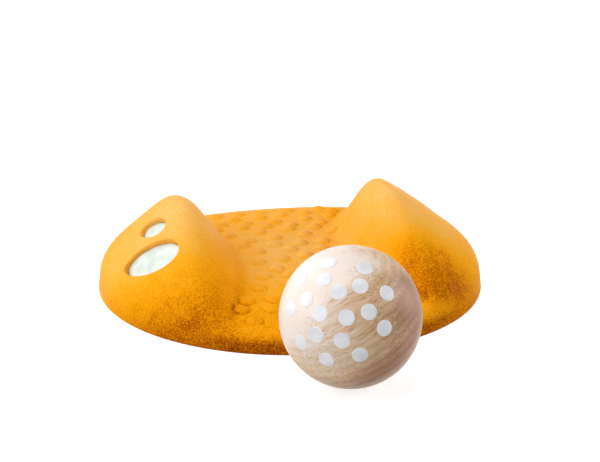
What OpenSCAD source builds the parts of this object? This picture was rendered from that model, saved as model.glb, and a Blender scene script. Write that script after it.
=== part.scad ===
// Tabletop mini golf game: a round moulded obstacle with two hills and a bumpy valley between them,
// and a spotted wooden ball that rolls along the valley.
// Lengths are in mm. The origin is the centre of the base on the ground, +Y runs along the valley, +Z is up.

/* [Base] */
// Diameter of the base on the ground
base_d = 154; // [140:1:170]
// Draft of the skirt from upright, in degrees
skirt_draft = 6.5; // [4:0.5:9]
// Width of the rounding between a hill's face and the skirt
rim_round = 6; // [4:0.5:7]
// Small bevel round the bottom edge
foot_bevel = 0.8; // [0.4:0.1:1.5]

/* [Valley] */
// Height of the valley floor at its crest
crest_h = 13.7; // [11:0.1:16]
// Height of the valley floor at its two mouths
mouth_h = 6.2; // [5:0.1:9]
// Radius of the fillet at the hills' feet
foot_round = 4; // [2:0.5:7]

/* [Hills] */
// Height of the hills' outer faces at the rim
rim_h = 10.6; // [9:0.1:13]

/* [Left hill] */
// Height of the left ridge before it is rounded
left_peak_h = 40.7; // [34:0.1:44]
// Radius of the rounding along the left ridge
left_ridge_round = 5.7; // [3:0.1:8]
// Distance of the left ridge from the centre line
left_ridge_x = 41.6; // [39:0.1:46]
// Distance of the left foot from the centre line at the valley's waist
left_foot_x = 21.6; // [18:0.1:26]
// Place of the left foot's waist along the valley
left_waist_y = 10; // [-15:1:20]
// Radius in plan of the left foot's bulge
left_bulge_r = 141; // [110:1:200]
// Slope of the left valley side at the rim
left_rim_slope = 0.05; // [0:0.05:0.6]
// Flatness of the left outer face in plan, where 1 is a round cone
left_face_flat = 0.95; // [0.8:0.01:1.1]
// Swelling of the left outer face between the ridge and the rim
left_crown = 0.6; // [0:0.1:3]
// Shift of the left outer face along the valley
left_face_y = 0; // [-5:0.5:5]

/* [Right hill] */
// Height of the right ridge before it is rounded
right_peak_h = 39.3; // [34:0.1:44]
// Radius of the rounding along the right ridge
right_ridge_round = 4; // [2:0.1:7]
// Distance of the right ridge from the centre line
right_ridge_x = 37.7; // [35:0.1:44]
// Distance of the right foot from the centre line at the valley's waist
right_foot_x = 23.2; // [20:0.1:27]
// Place of the right foot's waist along the valley
right_waist_y = -6; // [-20:1:15]
// Radius in plan of the right foot's bulge
right_bulge_r = 107; // [90:1:160]
// Slope of the right valley side at the rim
right_rim_slope = 0.4; // [0:0.05:0.8]
// Flatness of the right outer face in plan, where 1 is a round cone
right_face_flat = 0.88; // [0.75:0.01:1.1]
// Shift of the right outer face along the valley
right_face_y = 3.8; // [-5:0.1:5]
// Swelling of the right outer face between the ridge and the rim
right_crown = 2.5; // [0:0.1:4]

/* [Bumps] */
// Radius of the ball shape that a bump is the top of
bump_r = 4.2; // [3.5:0.1:5]
// Height of a bump above the valley floor
bump_h = 1.4; // [0.6:0.1:1.6]
// Spacing of the bumps across the valley
bump_pitch_x = 11.5; // [9:0.5:15]
// Spacing of the rows of bumps along the valley
bump_pitch_y = 8.6; // [7:0.1:12]
// How far a bump strays from its even place
bump_stray = 1.6; // [0:0.1:2.5]

/* [Ovals] */
// Length of the large oval
large_oval_l = 26; // [20:0.1:28]
// Width of the large oval
large_oval_w = 16; // [13:0.1:19]
// Distance of the large oval's middle from the foot of the rim, in plan
large_oval_inset = 14; // [12:0.1:17]
// Bearing of the large oval from the left towards the front, in degrees
large_oval_bearing = 16.5; // [12:0.5:22]
// Turn of the large oval on the face, in degrees
large_oval_turn = 40; // [20:0.5:60]
// Length of the small oval
small_oval_l = 16.4; // [12:0.1:18]
// Width of the small oval
small_oval_w = 9.8; // [7:0.1:12]
// Distance of the small oval's middle from the foot of the rim, in plan
small_oval_inset = 21; // [19:0.1:23]
// Bearing of the small oval from the left towards the front, in degrees
small_oval_bearing = 0.5; // [-3:0.5:3]
// Turn of the small oval on the face, in degrees
small_oval_turn = 23; // [0:0.5:45]
// Depth of an oval recess at its middle
recess_depth = 3.2; // [2.8:0.1:4]
// Thickness of the pale plate in a recess
inlay_t = 1; // [0.6:0.1:1.4]
// Gap round the pale plate
inlay_gap = 0.15; // [0.1:0.05:0.4]

/* [Underside] */
// Wall left round the hollow under each hill
hollow_wall = 8; // [7:0.5:10]
// Half the width of the solid strip under the valley
strip_half_w = 33; // [31:0.5:36]

/* [Ball] */
// Diameter of the ball
ball_d = 50; // [44:1:52]
// Place of the ball across the valley
ball_x = -7; // [-12:0.5:-4]
// Gap between the ball at rest and the base, along the valley
ball_rest_gap = 1.2; // [0.8:0.1:6]
// Diameter of a painted spot
spot_d = 5.6; // [4:0.1:6.5]
// Thickness of a painted spot
spot_t = 0.12; // [0.08:0.01:0.3]

/* [Hidden] */

base_r = base_d / 2;
draft_run = tan(skirt_draft);
face_centre_x = 2.6;

// Each hill: side, ridge, foot, waist, bulge, slope at the rim, then flatness and shift of the outer face,
// peak, rounding of the ridge and crown of the outer face
LEFT = [-1, left_ridge_x, left_foot_x, left_waist_y, left_bulge_r, left_rim_slope,
        left_face_flat, left_face_y, left_peak_h, left_ridge_round, left_crown];
RIGHT = [1, right_ridge_x, right_foot_x, right_waist_y, right_bulge_r, right_rim_slope,
         right_face_flat, right_face_y, right_peak_h, right_ridge_round, right_crown];

// The smaller or larger of two heights, with a soft turn from one to the other
function soft_min(a, b, k) =
    let (h = max(k - abs(a - b), 0) / k) min(a, b) - h * h * k / 4;
function soft_max(a, b, k) = -soft_min(-a, -b, k);

// The valley floor is an arch along the valley
function floor_z(y) = crest_h - (crest_h - mouth_h) * pow(y / base_r, 2);

// A hill's outer face is a flattened cone that falls from the ridge to the rim
function face_run(hill) = base_r - draft_run * rim_h - hill[1];
function outer_z(hill, x, y) =
    let (out = hill[0] * x - face_centre_x,
         t = (norm([out, (y - hill[7]) * hill[6]]) + face_centre_x - hill[1]) / face_run(hill))
    hill[8] - (hill[8] - rim_h) * t + 4 * hill[10] * t * (1 - t);

// A hill's valley side rises from a foot that bulges into the valley, and is less steep towards the rim
function side_slope(hill, y) =
    let (steep = (hill[8] - crest_h) / (hill[1] - hill[2]))
    steep - (steep - hill[5]) * pow(y / base_r, 2);
function valley_side_z(hill, x, y) =
    let (inside = hill[4] - norm([hill[0] * x - hill[2] - hill[4], y - hill[3]]))
    floor_z(y) + side_slope(hill, y) * inside;

// Two slopes that meet at a bend are blended over so much height that the bend has the radius r
function blend(r, bend) = r / 2 * bend * bend;
function hill_z(hill, x, y) =
    let (bend = (hill[8] - rim_h) / face_run(hill) + side_slope(hill, y))
    soft_min(outer_z(hill, x, y), valley_side_z(hill, x, y), blend(hill[9], bend));

function rise(hill, z, x, y) =
    soft_max(z, hill_z(hill, x, y), blend(foot_round, side_slope(hill, y)));
function ground_z(x, y) = rise(RIGHT, rise(LEFT, floor_z(y), x, y), x, y);

// The moulding's skin is a grid of rings and spokes
spokes = 96;
spoke_turn = 360 / spokes;
face_rings = 23;
edge_rings = 4;

function polar(r, a, z) = [r * cos(a), r * sin(a), z];
function ground_at(r, a) = ground_z(r * cos(a), r * sin(a));

// The corner where the ground would meet the skirt if it weren't rounded
function corner_z(a) = ground_at(base_r - draft_run * ground_at(base_r - draft_run * rim_h, a), a);
function corner(a) = let (z = corner_z(a)) [base_r - draft_run * z, z];
function setback(a) = rim_round * corner(a)[1] / rim_h;

// A curve that leaves the ground, turns at the corner and runs down the skirt by a share of its width
rim_drop = 0.9;
function rim_point(a, t) =
    let (c = corner(a),
         s = setback(a),
         start = [c[0] - s, ground_at(c[0] - s, a)],
         end = [c[0] + draft_run * s * rim_drop, c[1] - s * rim_drop])
    (1 - t) * (1 - t) * start + 2 * t * (1 - t) * c + t * t * end;

function skin_ring(i, a) =
    i <= face_rings ?
        let (r = (corner(a)[0] - setback(a)) * i / face_rings) polar(r, a, ground_at(r, a)) :
    i <= face_rings + edge_rings ?
        let (p = rim_point(a, (i - face_rings) / edge_rings)) polar(p[0], a, p[1]) :
    i == face_rings + edge_rings + 1 ?
        polar(base_r - draft_run * foot_bevel, a, foot_bevel) :
        polar(base_r - foot_bevel, a, 0);

module moulding() {
    rings = face_rings + edge_rings + 2;
    points = concat(
        [[0, 0, ground_z(0, 0)]],
        [for (i = [1:rings], s = [0:spokes - 1]) skin_ring(i, spoke_turn * s)],
        [[0, 0, 0]]);
    function at(i, s) = 1 + (i - 1) * spokes + s % spokes;
    faces = concat(
        [for (s = [0:spokes - 1]) [0, at(1, s + 1), at(1, s)]],
        [for (i = [1:rings - 1], s = [0:spokes - 1], half = [0, 1])
            half == 0 ? [at(i, s), at(i, s + 1), at(i + 1, s + 1)]
                      : [at(i, s), at(i + 1, s + 1), at(i + 1, s)]],
        [for (s = [0:spokes - 1]) [at(rings, s), at(rings, s + 1), len(points) - 1]]);
    polyhedron(points, faces, convexity = 6);
}

// Bumps stand in staggered rows and stray a little, where the floor is clear of the hills and the rim
function bump_place(row, col) = [
    (col + 0.5 * (row % 2)) * bump_pitch_x + bump_stray * sin(137 * row + 71 * col),
    (row - bump_rows) * bump_pitch_y + bump_stray * cos(97 * row + 53 * col)];
function on_floor(p) =
    norm(p) < base_r - rim_round - bump_r
    && max(hill_z(LEFT, p[0], p[1]), hill_z(RIGHT, p[0], p[1])) < floor_z(p[1]) - bump_h;
bump_rows = floor(base_r / bump_pitch_y);
bump_cols = ceil(base_r / bump_pitch_x);
bumps = [for (row = [0:2 * bump_rows], col = [-bump_cols:bump_cols])
         let (p = bump_place(row, col)) if (on_floor(p)) p];

module valley_bumps() {
    for (p = bumps)
        translate([p[0], p[1], ground_z(p[0], p[1]) + bump_h - bump_r]) sphere(r = bump_r, $fn = 24);
}

// The underside is hollow under each hill and keeps a wall of about even thickness
hollow_share = 0.65;
roof_wall = 1.6 * hollow_wall;
hollow_top_r = 5;
hollow_top_half_l = 10;
module hill_hollow(hill) {
    bottom_r = base_r - hollow_wall;
    half_l = bottom_r * hollow_share;
    roof = hill[8] - roof_wall;
    side = hill[0];
    hull() {
        translate([0, 0, -1]) linear_extrude(1.5) intersection() {
            circle(r = bottom_r, $fn = 64);
            translate([side > 0 ? strip_half_w : -strip_half_w - base_r, -half_l])
                square([base_r, half_l * 2]);
        }
        for (y = [-hollow_top_half_l, hollow_top_half_l])
            translate([side * (hill[1] + hollow_top_r), y, roof - hollow_top_r])
                sphere(r = hollow_top_r, $fn = 16);
    }
}

// Both ovals lie on the left hill's outer face: place across and along the valley, length, width and turn
function oval(inset, bearing, l, w, turn) =
    [-(base_r - inset) * cos(bearing), -(base_r - inset) * sin(bearing), l, w, turn];
LARGE = oval(large_oval_inset, large_oval_bearing, large_oval_l, large_oval_w, large_oval_turn);
SMALL = oval(small_oval_inset, small_oval_bearing, small_oval_l, small_oval_w, small_oval_turn);
slope_step = 2;

function face_normal(x, y) =
    let (dx = (ground_z(x + slope_step, y) - ground_z(x - slope_step, y)) / (2 * slope_step),
         dy = (ground_z(x, y + slope_step) - ground_z(x, y - slope_step)) / (2 * slope_step))
    [-dx, -dy, 1] / norm([-dx, -dy, 1]);

// Stands its children on an oval's seat, with +Z out of the face and the oval's length along +X
module on_seat(oval) {
    n = face_normal(oval[0], oval[1]);
    translate([oval[0], oval[1], ground_z(oval[0], oval[1])])
        rotate([0, acos(n[2]), atan2(n[1], n[0])])
            rotate([0, 0, 90 + oval[4]])
                translate([0, 0, -recess_depth]) children();
}

module oval_prism(l, w, h) {
    linear_extrude(h) polygon([for (a = [0:5:355]) [l / 2 * cos(a), w / 2 * sin(a)]]);
}

module oval_recess(oval) {
    on_seat(oval) oval_prism(oval[2], oval[3], recess_depth * 3);
}

module oval_inlay(oval) {
    on_seat(oval) oval_prism(oval[2] - 2 * inlay_gap, oval[3] - 2 * inlay_gap, inlay_t);
}

module obstacle_body() {
    color([0.91, 0.6, 0.1]) difference() {
        union() {
            moulding();
            valley_bumps();
        }
        hill_hollow(LEFT);
        hill_hollow(RIGHT);
        oval_recess(LARGE);
        oval_recess(SMALL);
    }
}

module large_oval_inlay() {
    color([0.94, 0.96, 0.93]) oval_inlay(LARGE);
}

module small_oval_inlay() {
    color([0.94, 0.96, 0.93]) oval_inlay(SMALL);
}

ball_r = ball_d / 2;
ball_centre = [ball_x, -base_r - ball_rest_gap - ball_r, ball_r];

module ball() {
    color([0.85, 0.72, 0.58]) translate(ball_centre) sphere(r = ball_r, $fn = 96);
}

// Longitude and latitude of each spot on the near side, in whole degrees, placed by eye.
// The far side carries the same spots straight opposite.
spot_places = [[-153, 65], [-84, 62], [-173, 42], [-142, 49], [-120, 41], [-97, 46], [-70, 37],
               [-151, 30], [-167, 18], [-134, 22], [-111, 21], [-92, 25], [-80, 11], [-135, 5],
               [-150, -5], [-114, 3], [-100, -9], [-127, -15]];

module spot() {
    intersection() {
        difference() {
            sphere(r = ball_r + spot_t, $fn = 96);
            sphere(r = ball_r, $fn = 96);
        }
        cylinder(d = spot_d, h = ball_r + 2 * spot_t, $fn = 32);
    }
}

module ball_spots() {
    color([0.97, 0.97, 0.98]) translate(ball_centre)
        for (place = spot_places, far = [0, 180])
            rotate([0, 90 - place[1] + far, place[0]]) spot();
}

obstacle_body();
large_oval_inlay();
small_oval_inlay();
ball();
ball_spots();
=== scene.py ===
"""Tabletop mini golf game: a moulded obstacle with two hills, and a spotted wooden ball.

Lengths are in metres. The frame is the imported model's: +Z is up, +Y runs along the valley and the origin is
the centre of the base on the ground.
"""
import logging
import math
from abc import ABC, abstractmethod
from collections.abc import Callable
from dataclasses import dataclass
from enum import Enum

import bpy
import numpy as np
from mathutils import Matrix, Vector


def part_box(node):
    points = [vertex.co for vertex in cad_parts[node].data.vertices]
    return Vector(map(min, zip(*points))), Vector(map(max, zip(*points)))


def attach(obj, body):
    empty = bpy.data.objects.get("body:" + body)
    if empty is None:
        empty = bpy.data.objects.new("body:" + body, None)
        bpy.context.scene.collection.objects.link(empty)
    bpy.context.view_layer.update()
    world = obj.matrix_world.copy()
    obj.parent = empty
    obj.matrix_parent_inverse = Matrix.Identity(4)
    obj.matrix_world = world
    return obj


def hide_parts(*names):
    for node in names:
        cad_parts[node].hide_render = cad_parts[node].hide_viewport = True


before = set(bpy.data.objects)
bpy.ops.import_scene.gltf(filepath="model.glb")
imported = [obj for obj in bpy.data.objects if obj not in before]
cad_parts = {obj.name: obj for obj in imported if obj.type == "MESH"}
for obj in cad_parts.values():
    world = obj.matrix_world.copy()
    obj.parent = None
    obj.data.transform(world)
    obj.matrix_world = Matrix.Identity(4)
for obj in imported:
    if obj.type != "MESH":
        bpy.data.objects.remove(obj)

log = logging.getLogger("mini_golf_game")

Array = np.ndarray
# One value, or an array of them
Values = float | Array
Triple = tuple[float, float, float]
Colour = tuple[float, float, float, float]
# A node or one of its outputs, which feeds an input of another node
Feed = bpy.types.Node | bpy.types.NodeSocket
# The start and the end of a range, and what it gives at each of them
Span = tuple[float, float, float, float]

MM = 0.001

# The Map Range node's inputs that a span fills
SPAN_INPUTS = ("From Min", "From Max", "To Min", "To Max")
# Places of the Mix node's two inputs when it mixes colours
MIX_A = 6
MIX_B = 7
# The length after which a Wave Texture of scale one repeats
WAVE_LENGTH = 0.314
# The mesh attribute that says how deep in a nook a point lies, which the finish darkens as painted shade
NOOK_SHADE = "nook_depth"


class Body(Enum):
    """The bodies that pieces ride on."""

    BASE = "base"
    ROLLING_BALL = "rolling_ball"


class Slot(Enum):
    """The record's material slots."""

    COMPOSITE = "composite"
    PALE_PLATE = "pale_plate"
    BALL_WOOD = "ball_wood"
    WHITE_PAINT = "white_paint"


def linear(code: str) -> Colour:
    """Turns an sRGB hex colour into linear RGBA.

    Args:
        code: Six hex digits after a hash mark.

    Returns:
        Linear red, green, blue and an alpha of one.
    """
    parts = [int(code[i:i + 2], 16) / 255 for i in (1, 3, 5)]
    flat = [c / 12.92 if c <= 0.04045 else ((c + 0.055) / 1.055) ** 2.4 for c in parts]
    return flat[0], flat[1], flat[2], 1.0


def fill_node(node: bpy.types.Node, settings: dict) -> bpy.types.Node:
    """Sets a node's properties and inputs.

    Args:
        node: The node.
        settings: What each property or input is set to or fed from, by name or place. A node feeds an input
            from the first of its outputs that is in use. "span" holds a Map Range node's span, and "ramp"
            the stops of a colour ramp, each a place and an sRGB hex colour.

    Returns:
        The node.
    """
    settings = dict(settings)
    settings.update(zip(SPAN_INPUTS, settings.pop("span", ())))
    for key, value in settings.items():
        if key == "ramp":
            stops = node.color_ramp.elements
            while len(stops) < len(value):
                stops.new(1.0)
            for stop, (place, code) in zip(stops, value):
                stop.position, stop.color = place, linear(code)
        elif isinstance(key, str) and key in node.bl_rna.properties:
            setattr(node, key, value)
        elif isinstance(value, Feed):
            if isinstance(value, bpy.types.Node):
                value = next(output for output in value.outputs if output.enabled)
            node.id_data.links.new(value, node.inputs[key])
        else:
            node.inputs[key].default_value = value
    return node


def add_node(tree: bpy.types.NodeTree, kind: str, settings: dict | None = None) -> bpy.types.Node:
    """Adds one node with its settings and links.

    Args:
        tree: Node tree that takes the node.
        kind: Type name of the node, without the "ShaderNode" that it starts with.
        settings: What each property or input is set to or fed from, as fill_node takes it.

    Returns:
        The new node.
    """
    return fill_node(tree.nodes.new("ShaderNode" + kind), settings or {})


def add_parts(tree: bpy.types.NodeTree, total: Feed, parts: tuple[tuple[float, Feed], ...],
              middle: float = 0.0) -> Feed:
    """Adds parts of different weight to a value.

    Args:
        tree: Node tree that takes the nodes.
        total: The value to start from.
        parts: Weight and value of each part.
        middle: The value at which a part adds nothing.

    Returns:
        What gives the sum.
    """
    for weight, part in parts:
        if middle:
            part = add_node(tree, "Math", {"operation": "SUBTRACT", 0: part, 1: middle})
        total = add_node(tree, "Math", {"operation": "MULTIPLY_ADD", 0: part, 1: weight, 2: total})
    return total


def add_object(name: str, data: bpy.types.ID) -> bpy.types.Object:
    """Adds an object to the scene, at the origin."""
    new = bpy.data.objects.new(name, data)
    bpy.context.scene.collection.objects.link(new)
    return new


def soft_min(a: Values, b: Values, blend: Values) -> Values:
    """The smaller of two heights, lowered by a parabola where they differ by less than the blend."""
    near = np.clip(blend - np.abs(a - b), 0, None) / blend
    return np.minimum(a, b) - near * near * blend / 4


def soft_max(a: Values, b: Values, blend: Values) -> Values:
    """The larger of two heights, raised by a parabola where they differ by less than the blend."""
    return -soft_min(-a, -b, blend)


def polar(radius: Values, angle: Values) -> Array:
    """Places in a plane, from a distance and an angle."""
    return np.stack([radius * np.cos(angle), radius * np.sin(angle)], axis=-1)


def raised(flat: Array, height: Values) -> Array:
    """Points at a height above places in plan."""
    return np.column_stack([flat, np.full(len(flat), height)])


def full_turn(steps: int) -> Array:
    """Angles of a full turn in even steps, without its end."""
    return np.arange(steps) * 2 * math.pi / steps


def quarter_turn(steps: int) -> Array:
    """Angles of a quarter turn in even steps, without its start."""
    return np.linspace(0, math.pi / 2, steps + 1)[1:]


class Shell:
    """Points and faces of one closed surface, gathered patch by patch."""

    def __init__(self) -> None:
        """Starts with no points."""
        self._points: list[Array] = []
        self._faces: list[Array] = []
        self._count = 0

    def add_points(self, places: Array) -> Array:
        """Adds points.

        Args:
            places: Coordinates, with x, y and z along the last axis.

        Returns:
            The new points' numbers, in the same grid.
        """
        flat = places.reshape(-1, 3)
        numbers = np.arange(self._count, self._count + len(flat)).reshape(places.shape[:-1])
        self._points.append(flat)
        self._count += len(flat)
        return numbers

    def add_faces(self, corners: Array) -> None:
        """Adds faces, each a row of point numbers that turns left as seen from outside."""
        self._faces.append(corners.reshape(-1, corners.shape[-1]))

    def add_tube(self, rings: list[Array], start: Array | None = None, turned: bool = False,
                 last_tip: Array | None = None, first_tip: Array | None = None) -> Array:
        """Joins closed rings of points, each to the next.

        Args:
            rings: Places of each ring's points. As seen from outside, the way from point to point is a
                quarter turn to the left of the way from ring to ring.
            start: Numbers of a ring of points that stands before the others.
            turned: Whether the way from point to point is turned round.
            last_tip: The point that closes the last ring.
            first_tip: The point that closes the first ring.

        Returns:
            The points' numbers, ring by ring.
        """
        numbers = [self.add_points(ring) for ring in rings]
        loops = np.stack(numbers if start is None else [start, *numbers])
        if turned:
            loops = loops[:, ::-1]
        after = np.roll(loops, -1, axis=1)
        self.add_faces(np.stack([loops[:-1], loops[1:], after[1:], after[:-1]], axis=-1))
        for tip, loop in ((last_tip, loops[-1]), (first_tip, loops[0, ::-1])):
            if tip is not None:
                centre = np.full_like(loop, self.add_points(tip))
                self.add_faces(np.stack([loop, centre, np.roll(loop, -1)], axis=-1))
        return loops

    def make(self, name: str, finish: bpy.types.Material, sharp_angle: float = 40.0) -> bpy.types.Object:
        """Makes the mesh object, without the points that no face uses.

        Args:
            name: The object's name.
            finish: Its material.
            sharp_angle: Faces that meet at more than this angle, in degrees, keep a sharp edge.

        Returns:
            The object, linked to the scene.
        """
        points = np.concatenate(self._points)
        corners = np.concatenate([faces.ravel() for faces in self._faces])
        sides = np.concatenate([np.full(len(faces), faces.shape[1]) for faces in self._faces])
        used, corners = np.unique(corners, return_inverse=True)
        mesh = bpy.data.meshes.new(name)
        mesh.vertices.add(len(used))
        mesh.vertices.foreach_set("co", points[used].ravel())
        mesh.loops.add(len(corners))
        mesh.loops.foreach_set("vertex_index", corners.ravel())
        mesh.polygons.add(len(sides))
        mesh.polygons.foreach_set("loop_start", np.cumsum(sides) - sides)
        mesh.update(calc_edges=True)
        mesh.validate()
        mesh.shade_smooth()
        mesh.set_sharp_from_angle(angle=math.radians(sharp_angle))
        mesh.materials.append(finish)
        log.info("%s: %d points, %d faces", name, len(used), len(sides))
        return add_object(name, mesh)


def settle(piece: bpy.types.Object, body: Body, slot: Slot, *nodes: str) -> None:
    """Sets a finished piece on its body, in place of its CAD nodes.

    Args:
        piece: The new piece.
        body: The body that it rides on.
        slot: The material slot that its finish comes from; not used.
        nodes: The CAD nodes that it stands for.
    """
    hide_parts(*nodes)
    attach(piece, body.value)


def disc_grid(cells: int) -> tuple[Array, Array, Array, Array]:
    """A square grid drawn onto the unit disc, with cells of about even size.

    Each square ring of the grid becomes a circle. Its radius is the larger of |u| and |v|, and the angle
    runs evenly along each of its sides.

    Args:
        cells: Number of cells along a side, an even number.

    Returns:
        Radius and angle of each point, the cells' corners, and the outer ring's points from -135 degrees on.
    """
    line = np.linspace(-1, 1, cells + 1)
    u, v = np.meshgrid(line, line)
    radius = np.maximum(np.abs(u), np.abs(v))
    sideways = np.abs(u) >= np.abs(v)
    longer = np.where(sideways, u, v)
    share = np.divide(np.where(sideways, v, u), longer, out=np.zeros_like(u), where=longer != 0)
    angle = np.where(sideways, share, 2 - share) * math.pi / 4 + np.where(longer < 0, math.pi, 0)
    at = np.arange((cells + 1) ** 2).reshape(cells + 1, cells + 1)
    corners = np.stack([at[:-1, :-1], at[:-1, 1:], at[1:, 1:], at[1:, :-1]], axis=-1).reshape(-1, 4)
    outer = np.concatenate([at[0, :-1], at[:-1, -1], at[-1, :0:-1], at[:0:-1, 0]])
    return radius.ravel(), angle.ravel(), corners, outer


@dataclass
class Grid:
    """A grid of points in a shell, with the cells that are still closed."""

    points: Array
    numbers: Array
    cells: Array

    def open_hole(self, flat: Array, outline: Callable[[Array], Array]) -> tuple[Array, Array]:
        """Takes the cells inside an outline out of the grid.

        Args:
            flat: Each point's place in the outline's plane, from the outline's middle.
            outline: Distance of the outline from its middle at an angle.

        Returns:
            The grid's points round the hole in order of their angle, and those angles.
        """
        middle = flat[self.cells].mean(axis=1)
        inside = np.hypot(*middle.T) < outline(np.arctan2(middle[:, 1], middle[:, 0]))
        gone = self.cells[inside]
        self.cells = self.cells[~inside]
        # The hole's edges are the sides of removed cells that no other removed cell shares
        start, end = gone.ravel(), np.roll(gone, -1, axis=1).ravel()
        edge = ~np.isin(start * len(flat) + end, end * len(flat) + start)
        by_start = np.argsort(start[edge])
        start, end = start[edge][by_start], end[edge][by_start]
        # They are put in order by steps of doubled length: each pass continues the row by as much as it has
        order, step = np.array([0]), np.searchsorted(start, end)
        while len(order) < len(start):
            order, step = np.append(order, step[order]), step[step]
        ring = start[order[:len(start)]]
        # Each stray from even angles is averaged with its neighbours', so that no two points fall together
        angle = np.unwrap(np.arctan2(flat[ring, 1], flat[ring, 0]))
        even = full_turn(len(ring))
        reach = 4
        shifts = range(-reach, reach + 1)
        stray = sum(np.roll(angle - even, shift) * (reach + 1 - abs(shift)) for shift in shifts)
        return ring, even + stray / (reach + 1) ** 2

    def close(self, shell: Shell, turned: bool = False) -> None:
        """Adds the cells that are left to the shell, turned over if need be."""
        corners = self.numbers[self.cells]
        shell.add_faces(corners[:, ::-1] if turned else corners)


@dataclass(frozen=True, kw_only=True)
class Finish(ABC):
    """A finish that is worked out from the place on the object."""

    name: str

    @abstractmethod
    def surface(self, tree: bpy.types.NodeTree, place: Feed) -> dict:
        """Adds the finish's own nodes.

        Args:
            tree: The material's node tree.
            place: The place on the object.

        Returns:
            What each input of the shader is set to or fed from.
        """

    def make(self) -> bpy.types.Material:
        """Builds the material.

        Returns:
            The material.
        """
        material = bpy.data.materials.new(self.name)
        material.use_nodes = True
        tree = material.node_tree
        place = add_node(tree, "TexCoord").outputs["Object"]
        fill_node(tree.nodes["Principled BSDF"], self.surface(tree, place))
        return material


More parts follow.
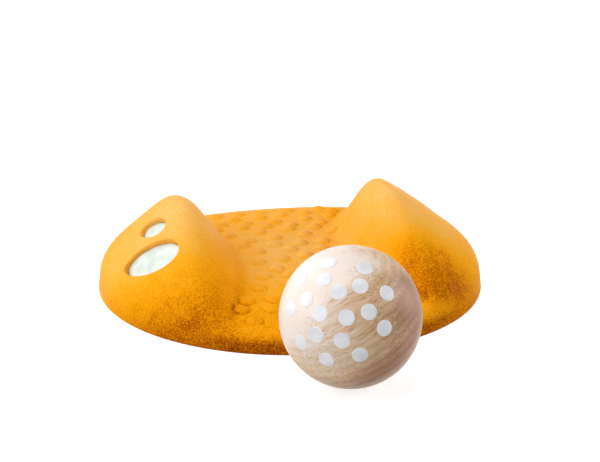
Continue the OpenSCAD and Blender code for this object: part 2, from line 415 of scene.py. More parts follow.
@dataclass(frozen=True, kw_only=True)
class SawdustComposite(Finish):
    """Wood-plastic composite: fine sawdust and resin dyed orange and pressed hot in a polished mould.

    It gives the eye a warm yellow orange, peppered with brown dust, under a dull satin skin.
    """

    name: str = "pressed_sawdust_composite"
    # The palest colour draws a painted sheen on the faces where the light falls
    pale_sheen: str = "#FCC87E"
    light_orange: str = "#FDB850"
    orange: str = "#FCAB16"
    deep_orange: str = "#F09804"
    # The two dust colours draw brown dust and painted shade alike
    brown_dust_and_shade: str = "#BA6004"
    dark_dust_and_shade: str = "#7C3A06"
    # The real grit is about 0.2 mm across, which is too fine to show in the render, so it is drawn coarser
    grit: float = 0.62 * MM
    grit_depth: float = 0.08 * MM
    fleck_pitch: float = 1.05 * MM
    mottle: float = 7 * MM
    # How far each of these moves a place along the scale from dark dust and painted shade to the painted
    # sheen
    mottle_weight: float = 0.2
    grit_weight: float = 0.7
    dust_and_shade_weight: float = -0.34
    nook_shade_weight: float = -0.2
    # Painted highlight and shade: the colour is drawn palest towards the top, the middle and the outer faces
    # of the hills, where the light falls, and deepest low down and towards the mouths
    sheen_way: Triple = (0.21, -0.36, 0.91)
    painted_sheen: Span = (-2 * MM, 40 * MM, 0.33, 0.78)
    # Painted light: the valley floor, which widens to the mouths, is drawn paler along its middle, where it
    # faces up to the lamps
    floor_way: Triple = (1.0, -0.3, 1.0)
    floor_edge: tuple[float, float] = (20 * MM, 45 * MM)
    floor_sheen_gain: Span = (3.6 * MM, 7.2 * MM, 0.0, 0.26)
    # Brown dust and painted shade: drawn darker at the skirt's foot, towards the front, and in a painted
    # shadow patch near the right hill's front ridge
    foot_shade: Span = (0.0, 9 * MM, 0.05, 0.0)
    front_way: Triple = (0.18, 1.0, 0.0)
    front_dust_and_shade: Span = (-24 * MM, -80 * MM, 0.0, 0.72)
    # The middle of a painted shadow patch at the right hill's front foot, where the ball's shadow falls
    ridge_shadow_middle: Triple = (42 * MM, -49 * MM, 18 * MM)
    ridge_shadow: Span = (8.1 * MM, 27 * MM, 0.72, 0.0)
    ragged: float = 3 * MM
    ragged_share: Span = (0.3, 0.6, 0.75, 1.0)
    # A fleck fills the middle of a cell. Its size follows from chance, with a gain where the brown dust and
    # painted shade lie
    fleck_gain: float = 0.3
    fleck_size: Span = (0.8, 1.4, 0.0, 0.45)
    fleck_edge: Span = (0.0, 0.12, 0.0, 0.6)
    roughness: Span = (0.0, 1.0, 0.36, 0.5)

    def surface(self, tree: bpy.types.NodeTree, place: Feed) -> dict:
        """Adds the composite's nodes: one scale of colours, along which every influence moves, and flecks.

        Args:
            tree: The material's node tree.
            place: The place on the object.

        Returns:
            What each input of the shader is set to or fed from.
        """
        # Brown dust and painted shade: darker at the foot, towards the front and in a painted shadow patch
        dust_and_shade = self.add_dust_and_shade(tree, place)
        # Painted light and shade: faces where the light falls are drawn paler, low ones deeper orange
        either_side = add_node(tree, "VectorMath", {"operation": "ABSOLUTE", 0: place})
        way = add_node(tree, "VectorMath", {"operation": "DOT_PRODUCT", 0: either_side, 1: self.sheen_way})
        sheen = add_node(tree, "MapRange", {"Value": way, "span": self.painted_sheen})
        height = add_node(tree, "SeparateXYZ", {"Vector": place}).outputs["Z"]
        # Painted light: the up-facing valley floor is drawn paler along its middle
        above = add_node(tree, "MapRange", {"Value": height, "span": self.floor_sheen_gain})
        aside = add_node(tree, "VectorMath", {"operation": "DOT_PRODUCT", 0: either_side, 1: self.floor_way})
        floor_sheen = add_node(tree, "MapRange", {"Value": aside, "span": (*self.floor_edge, above, 0.0)})
        scale = add_node(tree, "Math", {"operation": "ADD", 0: sheen, 1: floor_sheen})
        clouds = add_node(tree, "TexNoise", {"Scale": 1 / self.mottle, "Detail": 4.0, "Vector": place})
        dust = add_node(tree, "TexNoise", {
            "Scale": 1 / self.grit, "Detail": 2.0, "Roughness": 0.6, "Vector": place})
        scale = add_parts(tree, scale, ((self.mottle_weight, clouds), (self.grit_weight, dust)), middle=0.5)
        # Nooks are darkened as painted shade
        nook_shade = add_node(tree, "Attribute", {"attribute_name": NOOK_SHADE}).outputs["Fac"]
        scale = add_parts(tree, scale, ((self.dust_and_shade_weight, dust_and_shade), (self.nook_shade_weight, nook_shade)))
        ground = add_node(tree, "ValToRGB", {"Fac": scale, "ramp": (
            (0.0, self.dark_dust_and_shade), (0.14, self.brown_dust_and_shade), (0.32, self.deep_orange),
            (0.5, self.orange), (0.7, self.light_orange), (0.92, self.pale_sheen))})
        cells = add_node(tree, "TexVoronoi", {"Scale": 1 / self.fleck_pitch, "Vector": place})
        chance = add_node(tree, "SeparateColor", {"Color": cells.outputs["Color"]})
        chance = add_parts(tree, chance, ((self.fleck_gain, dust_and_shade),))
        size = add_node(tree, "MapRange", {"Value": chance, "span": self.fleck_size})
        gap = add_node(tree, "Math", {"operation": "SUBTRACT", 0: size, 1: cells.outputs["Distance"]})
        fleck = add_node(tree, "MapRange", {"Value": gap, "span": self.fleck_edge})
        return {
            "Base Color": add_node(tree, "Mix", {
                "data_type": "RGBA", 0: fleck, MIX_A: ground, MIX_B: linear(self.dark_dust_and_shade)}),
            "Roughness": add_node(tree, "MapRange", {"Value": clouds, "span": self.roughness}),
            "Normal": add_node(tree, "Bump", {"Strength": 0.25, "Distance": self.grit_depth, "Height": dust}),
            "IOR": 1.45,
            "Specular IOR Level": 0.008}

    def add_dust_and_shade(self, tree: bpy.types.NodeTree, place: Feed) -> Feed:
        """Adds the share of brown dust and painted shade at a place, from nought to one, with ragged edges.

        Args:
            tree: The material's node tree.
            place: The place on the object.

        Returns:
            What gives the share.
        """
        height = add_node(tree, "SeparateXYZ", {"Vector": place}).outputs["Z"]
        # Painted contact shade at the foot, and painted shade with dust towards the front
        foot = add_node(tree, "MapRange", {
            "interpolation_type": "SMOOTHSTEP", "Value": height, "span": self.foot_shade})
        ahead = add_node(tree, "VectorMath", {"operation": "DOT_PRODUCT", 0: place, 1: self.front_way})
        front = add_node(tree, "MapRange", {"Value": ahead, "span": self.front_dust_and_shade})
        outside = add_node(tree, "Math", {"operation": "ADD", 0: foot, 1: front})
        # A painted shadow patch round the right hill's front foot
        far = add_node(tree, "VectorMath", {"operation": "DISTANCE", 0: place, 1: self.ridge_shadow_middle})
        ridge = add_node(tree, "MapRange", {
            "interpolation_type": "SMOOTHSTEP", "Value": far, "span": self.ridge_shadow})
        either = add_node(tree, "Math", {"operation": "MAXIMUM", 0: outside, 1: ridge})
        ragged = add_node(tree, "TexNoise", {"Scale": 1 / self.ragged, "Detail": 4.0, "Vector": place})
        kept = add_node(tree, "MapRange", {"Value": ragged, "span": self.ragged_share})
        return add_node(tree, "Math", {"operation": "MULTIPLY", "use_clamp": True, 0: either, 1: kept})


@dataclass(frozen=True, kw_only=True)
class Enamel(Finish):
    """Enamel: paint that has flowed out and dried hard, with a faint orange peel.

    It gives the eye an even pale colour with a soft gloss and hardly any texture.
    """

    colour: str
    shade: str
    roughness: float
    patch: float = 5 * MM
    peel: float = 0.9 * MM
    peel_depth: float = 0.05 * MM

    def surface(self, tree: bpy.types.NodeTree, place: Feed) -> dict:
        """Adds the enamel's nodes: wide patches of two near shades, and the peel's fine dents.

        Args:
            tree: The material's node tree.
            place: The place on the object.

        Returns:
            What each input of the shader is set to or fed from.
        """
        patches = add_node(tree, "TexNoise", {"Scale": 1 / self.patch, "Detail": 3.0, "Vector": place})
        dents = add_node(tree, "TexNoise", {"Scale": 1 / self.peel, "Detail": 1.0, "Vector": place})
        return {
            "Base Color": add_node(tree, "ValToRGB", {
                "Fac": patches, "ramp": ((0.35, self.shade), (0.62, self.colour))}),
            "Normal": add_node(tree, "Bump", {"Strength": 0.1, "Distance": self.peel_depth, "Height": dents}),
            "Roughness": self.roughness,
            "IOR": 1.5,
            "Specular IOR Level": 0.2}


@dataclass(frozen=True, kw_only=True)
class TurnedRubberwood(Finish):
    """Rubberwood: a pale hardwood, turned to a ball, sanded and dipped in clear satin lacquer.

    It gives the eye a creamy ground, soft growth bands and short dark pores that run along the grain.
    """

    centre: Triple
    radius: float
    grain: Triple
    shade_side_way: Triple
    name: str = "turned_rubberwood"
    cream: str = "#F4E5DA"
    honey: str = "#D9B68E"
    # The tan also draws the painted shade on the ball's lower right side
    tan: str = "#925C32"
    pore_brown: str = "#A67448"
    band: float = 3.2 * MM
    pore: float = 0.6 * MM
    pore_depth: float = 0.05 * MM
    # Along the grain every pattern is so many times longer than across it
    stretch: float = 9.0
    # The wood's shade drifts over so many bands
    warp_bands: float = 6.0
    band_weight: float = 0.07
    pore_weight: float = 0.34
    # Painted shade: the ground is drawn darker and tan towards the ball's lower right side, away from the
    # light. The span runs in radii from its middle
    side_shade: Span = (-1.0, 0.4, -0.35, 0.28)
    # Pores show where their noise is high, and more of them in some patches and on the painted shaded side
    pore_patches: Span = (0.3, 0.7, -0.06, 0.06)
    pore_shade_gain: float = 0.2
    pore_edge: Span = (0.58, 0.7, 0.0, 0.6)

    def surface(self, tree: bpy.types.NodeTree, place: Feed) -> dict:
        """Adds the wood's nodes: bands and pores along the grain, on a ground drawn darker towards the ball's
        shaded side as painted shade.

        Args:
            tree: The material's node tree.
            place: The place on the object.

        Returns:
            What each input of the shader is set to or fed from.
        """
        turn = Vector((1, 0, 0)).rotation_difference(Vector(self.grain)).to_euler()
        along = add_node(tree, "Mapping", {
            "vector_type": "TEXTURE", "Location": self.centre, "Rotation": turn,
            "Scale": (self.stretch, 1, 1), "Vector": place})
        warp = add_node(tree, "TexNoise", {
            "Scale": 1 / (self.warp_bands * self.band), "Detail": 2.0, "Vector": along})
        bands = add_node(tree, "TexWave", {
            "wave_type": "BANDS", "bands_direction": "Z", "Scale": WAVE_LENGTH / self.band, "Distortion": 5.0,
            "Detail": 3.0, "Detail Scale": 1.2, "Vector": along}).outputs["Fac"]
        pores = add_node(tree, "TexNoise", {
            "Scale": 1 / self.pore, "Detail": 2.0, "Roughness": 0.5, "Vector": along})
        figure = add_parts(tree, warp, ((self.band_weight, bands), (self.pore_weight, pores)), middle=0.5)
        # Painted shade: the ground darkens towards the ball's lower right side
        middle = Vector(self.centre).dot(Vector(self.shade_side_way))
        start, end, least, most = self.side_shade
        toward_shade = add_node(tree, "VectorMath", {"operation": "DOT_PRODUCT", 0: place, 1: self.shade_side_way})
        side_shade_share = add_node(tree, "MapRange", {"Value": toward_shade, "span": (
            middle + start * self.radius, middle + end * self.radius, least, most)})
        depth = add_node(tree, "Math", {"operation": "ADD", 0: figure, 1: side_shade_share})
        ground = add_node(tree, "ValToRGB", {"Fac": depth, "ramp": (
            (0.22, self.cream), (0.48, self.honey), (0.8, self.tan))})
        patches = add_node(tree, "MapRange", {"Value": warp, "span": self.pore_patches})
        shown = add_parts(tree, pores, ((1.0, patches), (self.pore_shade_gain, side_shade_share)))
        dark = add_node(tree, "MapRange", {"Value": shown, "span": self.pore_edge})
        return {
            "Base Color": add_node(tree, "Mix", {
                "data_type": "RGBA", 0: dark, MIX_A: ground, MIX_B: linear(self.pore_brown)}),
            "Normal": add_node(tree, "Bump", {
                "invert": True, "Strength": 0.2, "Distance": self.pore_depth, "Height": dark}),
            "Roughness": 0.4,
            "IOR": 1.5,
            "Specular IOR Level": 0.35,
            "Coat Weight": 0.15,
            "Coat Roughness": 0.25}


@dataclass(frozen=True)
class Hill:
    """One hill of the moulding, with the side that it stands on as a sign."""

    side: int
    peak_h: float
    ridge_x: float
    ridge_round: float
    foot_x: float
    waist_y: float
    bulge_r: float
    rim_slope: float
    face_flat: float
    face_y: float
    crown: float


@dataclass(frozen=True)
class Oval:
    """An oval on the left hill's outer face.

    Its place in plan is a distance in from the rim and a bearing from the left towards the front, and its
    length is turned from level. Both angles are in degrees.
    """

    node: str
    inset: float
    bearing: float
    length: float
    width: float
    turn: float


@dataclass(frozen=True)
class Seat:
    """An oval's own directions: its middle on the face, along its length, across it, and out of the face."""

    middle: Array
    along: Array
    across: Array
    out: Array

    def flat(self, points: Array) -> Array:
        """Places of points in the oval's plane."""
        return np.stack([(points - self.middle) @ self.along, (points - self.middle) @ self.across], axis=-1)

    def place(self, flat: Array, height: Values) -> Array:
        """Points at places in the oval's plane and heights out of it."""
        rise = np.asarray(height)[..., None] * self.out
        return self.middle + flat[..., :1] * self.along + flat[..., 1:] * self.across + rise

    def axis_point(self, height: float) -> Array:
        """The point at a height out of the oval's middle."""
        return self.middle + height * self.out


@dataclass
class Obstacle:
    """The moulded obstacle: skirt, two hills, the bumpy valley, oval recesses and the hollows underneath."""

    # Degrees by which the skirt leans in
    skirt_draft: float = 6.5
    rim_round: float = 6 * MM
    rim_drop: float = 0.9
    foot_bevel: float = 0.8 * MM
    crest_h: float = 13.7 * MM
    mouth_h: float = 6.2 * MM
    foot_round: float = 4 * MM
    rim_h: float = 10.6 * MM
    face_centre_x: float = 2.6 * MM
    left: Hill = Hill(
        side=-1, peak_h=40.7 * MM, ridge_x=41.6 * MM, ridge_round=5.7 * MM, foot_x=21.6 * MM, waist_y=10 * MM,
        bulge_r=141 * MM, rim_slope=0.05, face_flat=0.95, face_y=0.0, crown=0.6 * MM)
    right: Hill = Hill(
        side=1, peak_h=39.3 * MM, ridge_x=37.7 * MM, ridge_round=4 * MM, foot_x=23.2 * MM, waist_y=-6 * MM,
        bulge_r=107 * MM, rim_slope=0.4, face_flat=0.88, face_y=3.8 * MM, crown=2.5 * MM)
    bump_r: float = 4.2 * MM
    bump_h: float = 1.4 * MM
    bump_pitch_x: float = 11.5 * MM
    bump_pitch_y: float = 8.6 * MM
    bump_stray: float = 1.6 * MM
    # Degrees by which the stray across and along the valley turns from row to row and from column to column
    stray_turn_x: tuple[float, float] = (137, 71)
    stray_turn_y: tuple[float, float] = (97, 53)
    bump_blend: float = 0.35 * MM
    large_oval: Oval = Oval(
        node="large_oval_inlay", inset=14 * MM, bearing=16.5, length=26 * MM, width=16 * MM, turn=40)
    small_oval: Oval = Oval(
        node="small_oval_inlay", inset=21 * MM, bearing=0.5, length=16.4 * MM, width=9.8 * MM, turn=23)
    recess_depth: float = 3.2 * MM
    lip_round: float = 0.7 * MM
    inlay_t: float = 1 * MM
    inlay_gap: float = 0.15 * MM
    inlay_edge: float = 0.35 * MM
    inlay_crown: float = 0.15 * MM
    # The step over which the slope at an oval's middle is measured
    slope_step: float = 2 * MM
    # A hollow's outer wall, its half length as a share of that wall's radius, and its soft corners
    hollow_wall: float = 8 * MM
    hollow_share: float = 0.65
    hollow_corner: float = 3 * MM
    # From a hill's peak down to the roof of its hollow
    roof_wall: float = 12.8 * MM
    # Half the width of the strip that is left between the hollows
    strip_half_w: float = 33 * MM
    hollow_top_r: float = 5 * MM
    hollow_top_half_l: float = 10 * MM
    nook_r: float = 1.5 * MM
    nook_depth: float = 0.3 * MM
    # The share of its painted shade that a nook keeps where it faces neither the front nor the back
    nook_least: float = 0.15
    # How far along the rim's curve the face's grid reaches
    face_end: float = 0.5
    face_cells: int = 224
    under_cells: int = 56
    under_inset: float = 2.4 * MM
    rim_steps: int = 8
    bevel_steps: int = 4
    lip_steps: int = 6
    fillet_steps: int = 3
    wall_steps: int = 4
    arch_steps: int = 5
    nook_around: int = 8
    newton_steps: int = 10
    inlay_around: int = 160
    crown_rings: tuple[float, ...] = (0.85, 0.65, 0.4, 0.2)

    def __post_init__(self) -> None:
        """Takes the base's radius from the CAD model's box."""
        low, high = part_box("obstacle_body")
        self.draft_run = math.tan(math.radians(self.skirt_draft))
        self.base_r = (high[0] - low[0]) / 2 + self.draft_run * self.foot_bevel

    def floor(self, y: Values) -> Values:
        """Height of the valley floor: a parabola along the valley from the crest to the mouths."""
        return self.crest_h - (self.crest_h - self.mouth_h) * (y / self.base_r) ** 2

    def hill(self, hill: Hill, x: Values, y: Values) -> Values:
        """Height of a hill: the soft minimum of its outer face and its valley side.

        The outer face falls evenly with the distance from the face's middle, and a parabola crowns it a
        little. The valley side rises from a circular foot at a slope that eases towards the rim.

        Args:
            hill: The hill.
            x: Places across the valley.
            y: Places along the valley.

        Returns:
            Heights at those places.
        """
        run = self.base_r - self.draft_run * self.rim_h - hill.ridge_x
        out = hill.side * x - self.face_centre_x
        t = (np.hypot(out, (y - hill.face_y) * hill.face_flat) + self.face_centre_x - hill.ridge_x) / run
        outer = hill.peak_h - (hill.peak_h - self.rim_h) * t + 4 * hill.crown * t * (1 - t)
        slope = self.side_slope(hill, y)
        inside = hill.bulge_r - np.hypot(hill.side * x - hill.foot_x - hill.bulge_r, y - hill.waist_y)
        bend = (hill.peak_h - self.rim_h) / run + slope
        return soft_min(outer, self.floor(y) + slope * inside, self.blend(hill.ridge_round, bend))

    def side_slope(self, hill: Hill, y: Values) -> Values:
        """Slope of a hill's valley side, which is less steep towards the rim."""
        steep = (hill.peak_h - self.crest_h) / (hill.ridge_x - hill.foot_x)
        return steep - (steep - hill.rim_slope) * (y / self.base_r) ** 2

    def blend(self, radius: float, bend: Values) -> Values:
        """Height over which two slopes are blended so that the bend between them has a radius."""
        return radius / 2 * bend ** 2

    def ground(self, x: Values, y: Values) -> Values:
        """Height of the moulding without its bumps: the soft maximum of the floor and both hills."""
        height = self.floor(y)
        for hill in (self.left, self.right):
            foot = self.blend(self.foot_round, self.side_slope(hill, y))
            height = soft_max(height, self.hill(hill, x, y), foot)
        return height

    def rim(self, angle: Array) -> tuple[Array, Array]:
        """Shape of the rounded rim, a curve of second degree from the ground over the corner to the skirt.

        Args:
            angle: Angles round the base.

        Returns:
            The radii and the heights of the curve's start, corner and end.
        """
        height = np.full_like(angle, self.rim_h)
        # The skirt leans in with height, so the corner's radius and height are found in two rounds
        for _ in range(2):
            corner = self.base_r - self.draft_run * height
            height = self.ground(*polar(corner, angle).T)
        corner = self.base_r - self.draft_run * height
        back = self.rim_round * height / self.rim_h
        start, drop = corner - back, back * self.rim_drop
        start_z = self.ground(*polar(start, angle).T)
        radii = np.stack([start, corner, corner + self.draft_run * drop])
        return radii, np.stack([start_z, height, height - drop])

    def skin(self, x: Array, y: Array) -> Array:
        """Height of the moulding's skin without its bumps, with the rounded rim."""
        reach = np.hypot(x, y)
        radii, heights = self.rim(np.arctan2(y, x))
        # The curve's place at a radius is the root of its equation of second degree
        curl, run = radii[0] - 2 * radii[1] + radii[2], radii[1] - radii[0]
        root = np.sqrt(np.clip(run ** 2 + curl * (reach - radii[0]), 0, None))
        t = np.clip((root - run) / curl, 0, 1)
        return np.where(reach > radii[0], self.along(heights, t), self.ground(x, y))

    def along(self, ends: Array, t: Values) -> Array:
        """A value along the rim's curve, from its start at nought to its end at one."""
        return (1 - t) ** 2 * ends[0] + 2 * t * (1 - t) * ends[1] + t ** 2 * ends[2]

    def bumps(self) -> Array:
        """Places of the bumps: staggered rows that stray a little, where the floor is clear.

        Returns:
            Places across and along the valley.
        """
        rows = math.floor(self.base_r / self.bump_pitch_y)
        cols = math.ceil(self.base_r / self.bump_pitch_x)
        row, col = np.meshgrid(np.arange(2 * rows + 1), np.arange(-cols, cols + 1), indexing="ij")
        turn_x, turn_y = (np.radians(a * row + b * col) for a, b in (self.stray_turn_x, self.stray_turn_y))
        x = (col + 0.5 * (row % 2)) * self.bump_pitch_x + self.bump_stray * np.sin(turn_x)
        y = (row - rows) * self.bump_pitch_y + self.bump_stray * np.cos(turn_y)
        hills = np.maximum(self.hill(self.left, x, y), self.hill(self.right, x, y))
        inside = np.hypot(x, y) < self.base_r - self.rim_round - self.bump_r
        clear = inside & (hills < self.floor(y) - self.bump_h)
        return np.stack([x[clear], y[clear]], axis=-1)

    def face_height(self, x: Array, y: Array) -> Array:
        """Height of the moulding with its bumps.

        A bump is the top of a small sphere, and a soft maximum blends its foot into the ground.
        """
        height = self.skin(x, y)
        for bump_x, bump_y in self.bumps():
            far = (x - bump_x) ** 2 + (y - bump_y) ** 2
            near = far < self.bump_r ** 2
            top = self.ground(bump_x, bump_y) + self.bump_h
            dome = top - self.bump_r + np.sqrt(self.bump_r ** 2 - far[near])
            height[near] = soft_max(height[near], dome, self.bump_blend)
        return height

    def seat(self, oval: Oval) -> Seat:
        """Directions of an oval on the face, from the slope of the ground at its middle."""
        x, y = -polar(self.base_r - oval.inset, math.radians(oval.bearing))
        step = self.slope_step
        slope_x = (self.ground(x + step, y) - self.ground(x - step, y)) / (2 * step)
        slope_y = (self.ground(x, y + step) - self.ground(x, y - step)) / (2 * step)
        out = np.array([-slope_x, -slope_y, 1])
        out /= np.linalg.norm(out)
        level = np.cross([0, 0, 1], out)
        level /= np.linalg.norm(level)
        upward = np.cross(out, level)
        turn = math.radians(oval.turn)
        along = level * math.cos(turn) + upward * math.sin(turn)
        return Seat(np.array([x, y, self.ground(x, y)]), along, np.cross(out, along), out)

    def on_face(self, seat: Seat, flat: Array) -> Array:
        """Heights out of an oval's plane at which places in it meet the skin, by Newton steps."""
        height = np.zeros(flat.shape[:-1])
        for _ in range(self.newton_steps):
            point = seat.place(flat, height)
            height -= (point[..., 2] - self.skin(point[..., 0], point[..., 1])) * seat.out[2]
        return height

    def add_recess(self, shell: Shell, grid: Grid, oval: Oval) -> None:
        """Sinks an oval recess into the face.

        The lip is a quarter circle carried round the oval, then comes the wall, a small fillet and the floor.

        Args:
            shell: The shell that takes the lip, wall and floor.
            grid: The face, whose points round the hole are drawn onto the lip's edge.
            oval: The oval.
        """
        seat = self.seat(oval)
        lip, floor = self.lip_round, -self.recess_depth
        fillet = lip / 3

        def outline(angle: Array, inset: float = 0.0) -> Array:
            """Distance of the lip's edge from the middle: an ellipse in polar form."""
            half_l = oval.length / 2 + lip - inset
            half_w = oval.width / 2 + lip - inset
            return half_l * half_w / np.hypot(half_w * np.cos(angle), half_l * np.sin(angle))

        ring, angle = grid.open_hole(seat.flat(grid.points), outline)
        edge = polar(outline(angle), angle)
        level = self.on_face(seat, edge)
        grid.points[ring] = seat.place(edge, level)
        profile = [(lip * math.sin(t), level - lip * (1 - math.cos(t))) for t in quarter_turn(self.lip_steps)]
        profile += [(lip, (level - lip) * (1 - share) + (floor + fillet) * share) for share in (0.5, 1.0)]
        profile += [(lip + fillet * (1 - math.cos(t)), floor + fillet * (1 - math.sin(t)))
                    for t in quarter_turn(self.fillet_steps)]
        rings = [seat.place(polar(outline(angle, inset), angle), height) for inset, height in profile]
        # The rings go from the face into the recess, so the way round them is turned
        shell.add_tube(rings, start=grid.numbers[ring], turned=True, last_tip=seat.axis_point(floor))

    def add_hollow(self, shell: Shell, grid: Grid, hill: Hill) -> None:
        """Opens the hollow under a hill.

        Its edge is a half moon: the nearest of the strip, the wall and the two ends, with soft corners. Its
        sides rise straight to a long rounded roof.

        Args:
            shell: The shell that takes the sides and roof.
            grid: The underside, whose points round the hole are drawn onto the hollow's edge.
            hill: The hill above.
        """
        wall_r = self.base_r - self.hollow_wall
        half_l = wall_r * self.hollow_share
        middle_x = (self.strip_half_w + wall_r) / 2
        tiny = 1e-9

        def edge(angle: Array) -> Array:
            """Distance of the hollow's edge from its middle at an angle."""
            cos, sin = hill.side * np.cos(angle), np.sin(angle)
            to_wall = -middle_x * cos + np.sqrt((middle_x * cos) ** 2 + wall_r ** 2 - middle_x ** 2)
            to_end = half_l / np.maximum(np.abs(sin), tiny)
            to_strip = np.where(cos < 0, (middle_x - self.strip_half_w) / np.maximum(-cos, tiny), to_wall)
            return soft_min(soft_min(to_wall, to_end, self.hollow_corner), to_strip, self.hollow_corner)

        def roof(angle: Array) -> Array:
            """Distance of the roof's edge from its middle: a slot with round ends."""
            cos, sin = np.abs(np.cos(angle)), np.abs(np.sin(angle))
            end = np.sqrt(np.clip(self.hollow_top_r ** 2 - (self.hollow_top_half_l * cos) ** 2, 0, None))
            side = self.hollow_top_r / np.maximum(cos, tiny)
            return np.where(side * sin <= self.hollow_top_half_l, side, self.hollow_top_half_l * sin + end)

        middle = np.array([hill.side * middle_x, 0.0])
        top = np.array([hill.side * (hill.ridge_x + self.hollow_top_r), 0.0])
        ring, angle = grid.open_hole(grid.points[:, :2] - middle, edge)
        low, high = middle + polar(edge(angle), angle), top + polar(roof(angle), angle)
        grid.points[ring, :2] = low
        roof_z, arch = hill.peak_h - self.roof_wall, self.hollow_top_r
        rings = [raised(low * (1 - share) + high * share, (roof_z - arch) * share)
                 for share in np.linspace(0, 1, self.wall_steps + 1)[1:]]
        rings += [raised(top + (high - top) * math.cos(t), roof_z - arch + arch * math.sin(t))
                  for t in quarter_turn(self.arch_steps)[:-1]]
        shell.add_tube(rings, start=grid.numbers[ring], last_tip=np.array([*top, roof_z]))

    def build(self, finish: bpy.types.Material) -> bpy.types.Object:
        """Builds the moulding as one closed shell.

        Args:
            finish: Its material.

        Returns:
            The piece.
        """
        shell = Shell()
        radius, angle, cells, outer = disc_grid(self.face_cells)
        flat = polar(radius * self.along(self.rim(angle)[0], self.face_end), angle)
        points = raised(flat, self.face_height(*flat.T))
        face = Grid(points, shell.add_points(points), cells)
        for oval in (self.large_oval, self.small_oval):
            self.add_recess(shell, face, oval)
        face.close(shell)
        rim = self.add_skirt(shell, angle[outer], face.numbers[outer])
        self.add_underside(shell, rim)
        piece = shell.make("obstacle_moulding", finish)
        self.add_nook_shade(piece.data)
        return piece

    def add_nook_shade(self, mesh: bpy.types.Mesh) -> None:
        """Writes how far each point of the face lies in a nook, such as the foot of a bump or of a hill.

        That is how much higher the face is round the point than at it. The finish darkens the nooks with it,
        as painted shade, most on their front side.

        Args:
            mesh: The moulding's mesh.
        """
        places = np.empty(3 * len(mesh.vertices))
        mesh.vertices.foreach_get("co", places)
        x, y, z = places.reshape(-1, 3).T
        level = self.face_height(x, y)
        around = polar(self.nook_r, full_turn(self.nook_around))
        ring = [self.face_height(x + step_x, y + step_y) for step_x, step_y in around]
        depth = np.clip((np.mean(ring, axis=0) - level) / self.nook_depth, 0, 1)
        rise = self.face_height(x, y + self.nook_r) - self.face_height(x, y - self.nook_r)
        depth *= np.clip(self.nook_least + rise / self.nook_depth / 2, 0, 1)
        depth[np.hypot(x, y) > self.base_r - self.rim_round - self.nook_r] = 0
        depth[z < level - self.nook_depth] = 0
        mesh.attributes.new(NOOK_SHADE, "FLOAT", "POINT").data.foreach_set("value", depth)

    def add_skirt(self, shell: Shell, angle: Array, rim: Array) -> Array:
        """Carries the rest of the rounded rim, the skirt and the bevelled foot round the base.

        Args:
            shell: The shell.
            angle: Angles of the face's outer ring.
            rim: Point numbers of that ring.

        Returns:
            Point numbers of the lowest ring.
        """
        radii, heights = self.rim(angle)
        bevel = self.foot_bevel
        foot_r, inner_r = self.base_r - self.draft_run * bevel, self.base_r - bevel
        profile = [(self.along(radii, t), self.along(heights, t))
                   for t in np.linspace(self.face_end, 1, self.rim_steps + 1)[1:]]
        profile += [(radii[2] + (foot_r - radii[2]) * share, heights[2] + (bevel - heights[2]) * share)
                    for share in (0.5, 1.0)]
        profile += [(inner_r + (foot_r - inner_r) * math.cos(t), bevel * (1 - math.sin(t)))
                    for t in quarter_turn(self.bevel_steps)]
        rings = [raised(polar(radius, angle), height) for radius, height in profile]
        return shell.add_tube(rings, start=rim)[-1]

    def add_underside(self, shell: Shell, rim: Array) -> None:
        """Closes the base with a flat underside that has a hollow under each hill.

        Args:
            shell: The shell.
            rim: Point numbers of the lowest ring.
        """
        radius, angle, cells, outer = disc_grid(self.under_cells)
        points = raised(polar(radius * (self.base_r - self.under_inset), angle), 0.0)
        sole = Grid(points, shell.add_points(points), cells)
        for hill in (self.left, self.right):
            self.add_hollow(shell, sole, hill)
        sole.close(shell, turned=True)
        # Each side of the coarse ring meets several sides of the fine one in a fan from its two ends
        ratio = self.face_cells // self.under_cells
        coarse = sole.numbers[outer]
        fine = np.append(rim, rim[0])
        near, far = coarse, np.roll(coarse, -1)
        at = np.arange(len(coarse)) * ratio
        for i in range(ratio):
            hub = near if i < ratio // 2 else far
            shell.add_faces(np.column_stack([fine[at + i], hub, fine[at + i + 1]]))
        shell.add_faces(np.column_stack([fine[at + ratio // 2], near, far]))

    def build_inlay(self, oval: Oval, finish: bpy.types.Material) -> bpy.types.Object:
        """Builds an oval plate: a rounded edge carried round the oval, and a slightly crowned top.

        Args:
            oval: The oval.
            finish: The plate's material.

        Returns:
            The piece.
        """
        seat = self.seat(oval)
        edge, base = self.inlay_edge, -self.recess_depth
        shoulder = self.inlay_t - self.inlay_crown
        half = np.array([oval.length, oval.width]) / 2 - self.inlay_gap
        heading = polar(1.0, full_turn(self.inlay_around))
        profile = [(half, 0.0)]
        profile += [(half - edge * (1 - math.cos(t)), shoulder - edge * (1 - math.sin(t)))
                    for t in (0.0, *quarter_turn(self.lip_steps))]
        profile += [(half * share, self.inlay_t - self.inlay_crown * share ** 2)
                    for share in self.crown_rings]
        rings = [seat.place(reach * heading, base + height) for reach, height in profile]
        shell = Shell()
        shell.add_tube(rings, turned=True, last_tip=seat.axis_point(base + self.inlay_t),
                       first_tip=seat.axis_point(base))
        return shell.make(oval.node.replace("inlay", "plate"), finish)


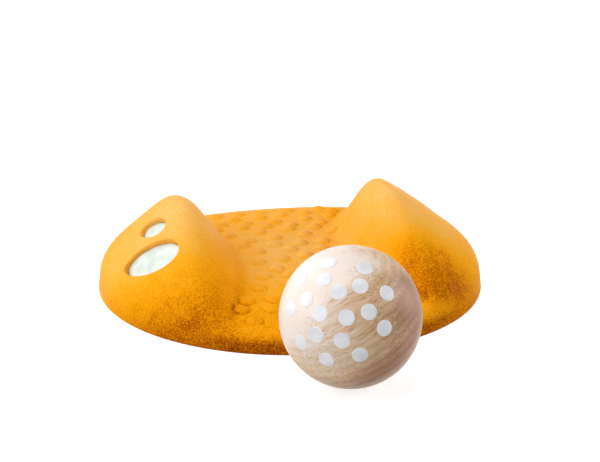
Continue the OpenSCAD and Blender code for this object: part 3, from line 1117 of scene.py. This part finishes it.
@dataclass
class RollingBall:
    """The turned ball and its painted spots."""

    spot_d: float = 5.6 * MM
    spot_t: float = 0.12 * MM
    # Longitude and latitude of each near spot, in degrees. The far side has the same spots straight opposite
    spot_places: tuple[tuple[float, float], ...] = (
        (-153, 65), (-84, 62), (-173, 42), (-142, 49), (-120, 41), (-97, 46), (-70, 37), (-151, 30),
        (-167, 18), (-134, 22), (-111, 21), (-92, 25), (-80, 11), (-135, 5), (-150, -5), (-114, 3),
        (-100, -9), (-127, -15))
    # A spot's thickness falls off with this power of the distance from its middle, so most of it is even
    spot_power: int = 24
    spot_rings: tuple[float, ...] = (0.35, 0.7, 0.85, 0.93, 0.97, 0.99, 1.0)
    # The share of a spot's radius at which it closes under the ball's skin
    under_share: float = 0.97
    # Points round the ball, bands from pole to pole, and points round a spot
    around: int = 256
    bands: int = 128
    spot_around: int = 48

    def __post_init__(self) -> None:
        """Takes the ball's place and radius from the CAD model."""
        low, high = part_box("ball")
        self.centre = np.array((low + high) / 2)
        self.radius = (high[2] - low[2]) / 2

    def build_ball(self, finish: bpy.types.Material) -> bpy.types.Object:
        """Builds the ball: a circle carried round the upright axis, with one point at each pole.

        Args:
            finish: Its material.

        Returns:
            The piece.
        """
        lat = np.linspace(math.pi / 2, -math.pi / 2, self.bands + 1)[1:-1]
        level = polar(1.0, full_turn(self.around))
        rings = [self.centre + self.radius * raised(math.cos(a) * level, math.sin(a)) for a in lat]
        up = np.array([0, 0, self.radius])
        shell = Shell()
        shell.add_tube(rings, last_tip=self.centre - up, first_tip=self.centre + up)
        return shell.make("turned_ball", finish)

    def build_spots(self, finish: bpy.types.Material) -> bpy.types.Object:
        """Builds the spots: thin caps on the ball, whose thickness falls off in a rounded edge.

        Args:
            finish: Their material.

        Returns:
            The piece.
        """
        half = math.asin(self.spot_d / 2 / self.radius)
        share = np.array(self.spot_rings)
        under = self.radius - self.spot_t
        # The profile goes over the top from the middle and closes just under the ball's skin
        polar_angle = np.append(share, self.under_share) * half
        length = np.append(self.radius + self.spot_t * np.sqrt(1 - share ** self.spot_power), under)
        level = polar(1.0, full_turn(self.spot_around))
        shell = Shell()
        near = np.radians(np.array(self.spot_places))
        far = near * [1, -1] + [math.pi, 0]
        for lon, lat in np.concatenate([near, far]):
            axis = np.array([*polar(math.cos(lat), lon), math.sin(lat)])
            side = np.array([-math.sin(lon), math.cos(lon), 0])
            across = level @ np.stack([side, np.cross(axis, side)])
            rings = [self.centre + reach * (math.cos(a) * axis + math.sin(a) * across)
                     for a, reach in zip(polar_angle, length)]
            shell.add_tube(rings, last_tip=self.centre + axis * under,
                           first_tip=self.centre + axis * (self.radius + self.spot_t))
        return shell.make("painted_spots", finish, sharp_angle=80.0)


@dataclass
class Studio:
    """The white table, the soft lights and the camera."""

    target: Triple = (9.2 * MM, 17.4 * MM, 15 * MM)
    azimuth: float = -15.94
    elevation: float = 19.03
    distance: float = 741.9 * MM
    lens_mm: float = 108.0
    sensor_mm: float = 36.0
    table_half: float = 4.0
    table_grey: float = 0.6
    # The table glows a little less round the object, where it takes the shadow, than far from the lamps
    table_glow: Span = (0.15, 0.5, 0.76, 1.0)
    ambient: float = 0.04
    lamp_distance: float = 1.1
    lamp_size: float = 0.7
    # Each lamp's name, azimuth and elevation in degrees, and power in watts
    lamps: tuple[tuple[str, float, float, float], ...] = (
        ("window_light", -150, 32, 5.0), ("top_softbox", -60, 78, 5.5), ("left_softbox", -85, 24, 5.2),
        ("front_fill", -35, 10, 2.6), ("right_softbox", 88, 17, 5.6), ("right_fill", 45, 25, 1.5))

    def white_share(self, tree: bpy.types.NodeTree) -> Feed:
        """One for rays from the camera and for reflections, which see plain white, else nought."""
        rays = add_node(tree, "LightPath").outputs
        mirrored = add_node(tree, "Math", {
            "operation": "MAXIMUM", 0: rays["Is Glossy Ray"], 1: rays["Is Transmission Ray"]})
        return add_node(tree, "Math", {"operation": "MAXIMUM", 0: rays["Is Camera Ray"], 1: mirrored})

    def build_table(self) -> None:
        """Lays the white table, which glows for the camera but still takes a faint shadow."""
        material = bpy.data.materials.new("white_table")
        material.use_nodes = True
        tree = material.node_tree
        tree.nodes.clear()
        grey = self.table_grey
        paper = add_node(tree, "BsdfDiffuse", {"Color": (grey, grey, grey, 1.0)})
        place = add_node(tree, "TexCoord").outputs["Object"]
        far = add_node(tree, "VectorMath", {"operation": "LENGTH", 0: place})
        level = add_node(tree, "MapRange", {"Value": far, "span": self.table_glow})
        glow = add_node(tree, "Emission", {"Strength": level})
        both = add_node(tree, "AddShader", {0: paper, 1: glow})
        mix = add_node(tree, "MixShader", {0: self.white_share(tree), 1: paper, 2: both})
        add_node(tree, "OutputMaterial", {"Surface": mix})
        half = self.table_half
        mesh = bpy.data.meshes.new("table_top")
        corners = [(-half, -half, 0), (half, -half, 0), (half, half, 0), (-half, half, 0)]
        mesh.from_pydata(corners, [], [(0, 1, 2, 3)])
        mesh.materials.append(material)
        add_object("table_top", mesh)

    def build_world(self) -> None:
        """Surrounds the scene with white for the eye and an even soft light for the object."""
        world = bpy.data.worlds.new("white_room")
        world.use_nodes = True
        tree = world.node_tree
        tree.nodes.clear()
        light, white = (add_node(tree, "Background", {"Color": (1, 1, 1, 1), "Strength": strength})
                        for strength in (self.ambient, 1.0))
        mix = add_node(tree, "MixShader", {0: self.white_share(tree), 1: light, 2: white})
        add_node(tree, "OutputWorld", {"Surface": mix})
        bpy.context.scene.world = world

    def hang(self, name: str, data: bpy.types.ID, azimuth: float, elevation: float, distance: float,
             target: Triple = (0, 0, 0)) -> bpy.types.Object:
        """Hangs a lamp or the camera so that it faces a target.

        Args:
            name: Its name.
            data: The lamp's or the camera's own data.
            azimuth: Its direction from the target, in degrees from the -Y side towards +X.
            elevation: Its height above the target, in degrees.
            distance: Its distance from the target.
            target: The place that it faces.

        Returns:
            The object.
        """
        a, e = math.radians(azimuth), math.radians(elevation)
        back = Vector((math.sin(a) * math.cos(e), -math.cos(a) * math.cos(e), math.sin(e)))
        hung = add_object(name, data)
        hung.location = Vector(target) + back * distance
        hung.rotation_euler = back.to_track_quat("Z", "Y").to_euler()
        return hung

    def build(self) -> None:
        """Sets up the studio, with the camera at the photograph's viewing angle and square soft lamps."""
        data = bpy.data.cameras.new("camera")
        data.lens, data.sensor_width = self.lens_mm, self.sensor_mm
        camera = self.hang("camera", data, self.azimuth, self.elevation, self.distance, self.target)
        bpy.context.scene.camera = camera
        self.build_table()
        self.build_world()
        for name, azimuth, elevation, power in self.lamps:
            data = bpy.data.lights.new(name, "AREA")
            data.shape, data.size, data.energy = "SQUARE", self.lamp_size, power
            self.hang(name, data, azimuth, elevation, self.lamp_distance)
        bpy.context.scene.view_settings.view_transform = "Standard"


def main() -> None:
    """Builds the studio and the game's pieces, and reports each piece."""
    logging.basicConfig(level=logging.INFO, format="%(name)s: %(message)s")
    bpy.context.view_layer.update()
    Studio().build()
    obstacle = Obstacle()
    composite = SawdustComposite().make()
    settle(obstacle.build(composite), Body.BASE, Slot.COMPOSITE, "obstacle_body")
    plate_enamel = Enamel(name="pale_plate_enamel", colour="#DFE7E1", shade="#CBD7CE", roughness=0.4).make()
    for oval in (obstacle.large_oval, obstacle.small_oval):
        settle(obstacle.build_inlay(oval, plate_enamel), Body.BASE, Slot.PALE_PLATE, oval.node)
    ball = RollingBall()
    wood = TurnedRubberwood(centre=tuple(ball.centre), radius=ball.radius, grain=(0.877, -0.081, 0.473),
                            shade_side_way=(0.82, 0.0, -0.57)).make()
    settle(ball.build_ball(wood), Body.ROLLING_BALL, Slot.BALL_WOOD, "ball")
    spot_enamel = Enamel(name="white_spot_enamel", colour="#F6F6FA", shade="#E6E6EC", roughness=0.35).make()
    settle(ball.build_spots(spot_enamel), Body.ROLLING_BALL, Slot.WHITE_PAINT, "ball_spots")


if __name__ == "__main__":
    main()
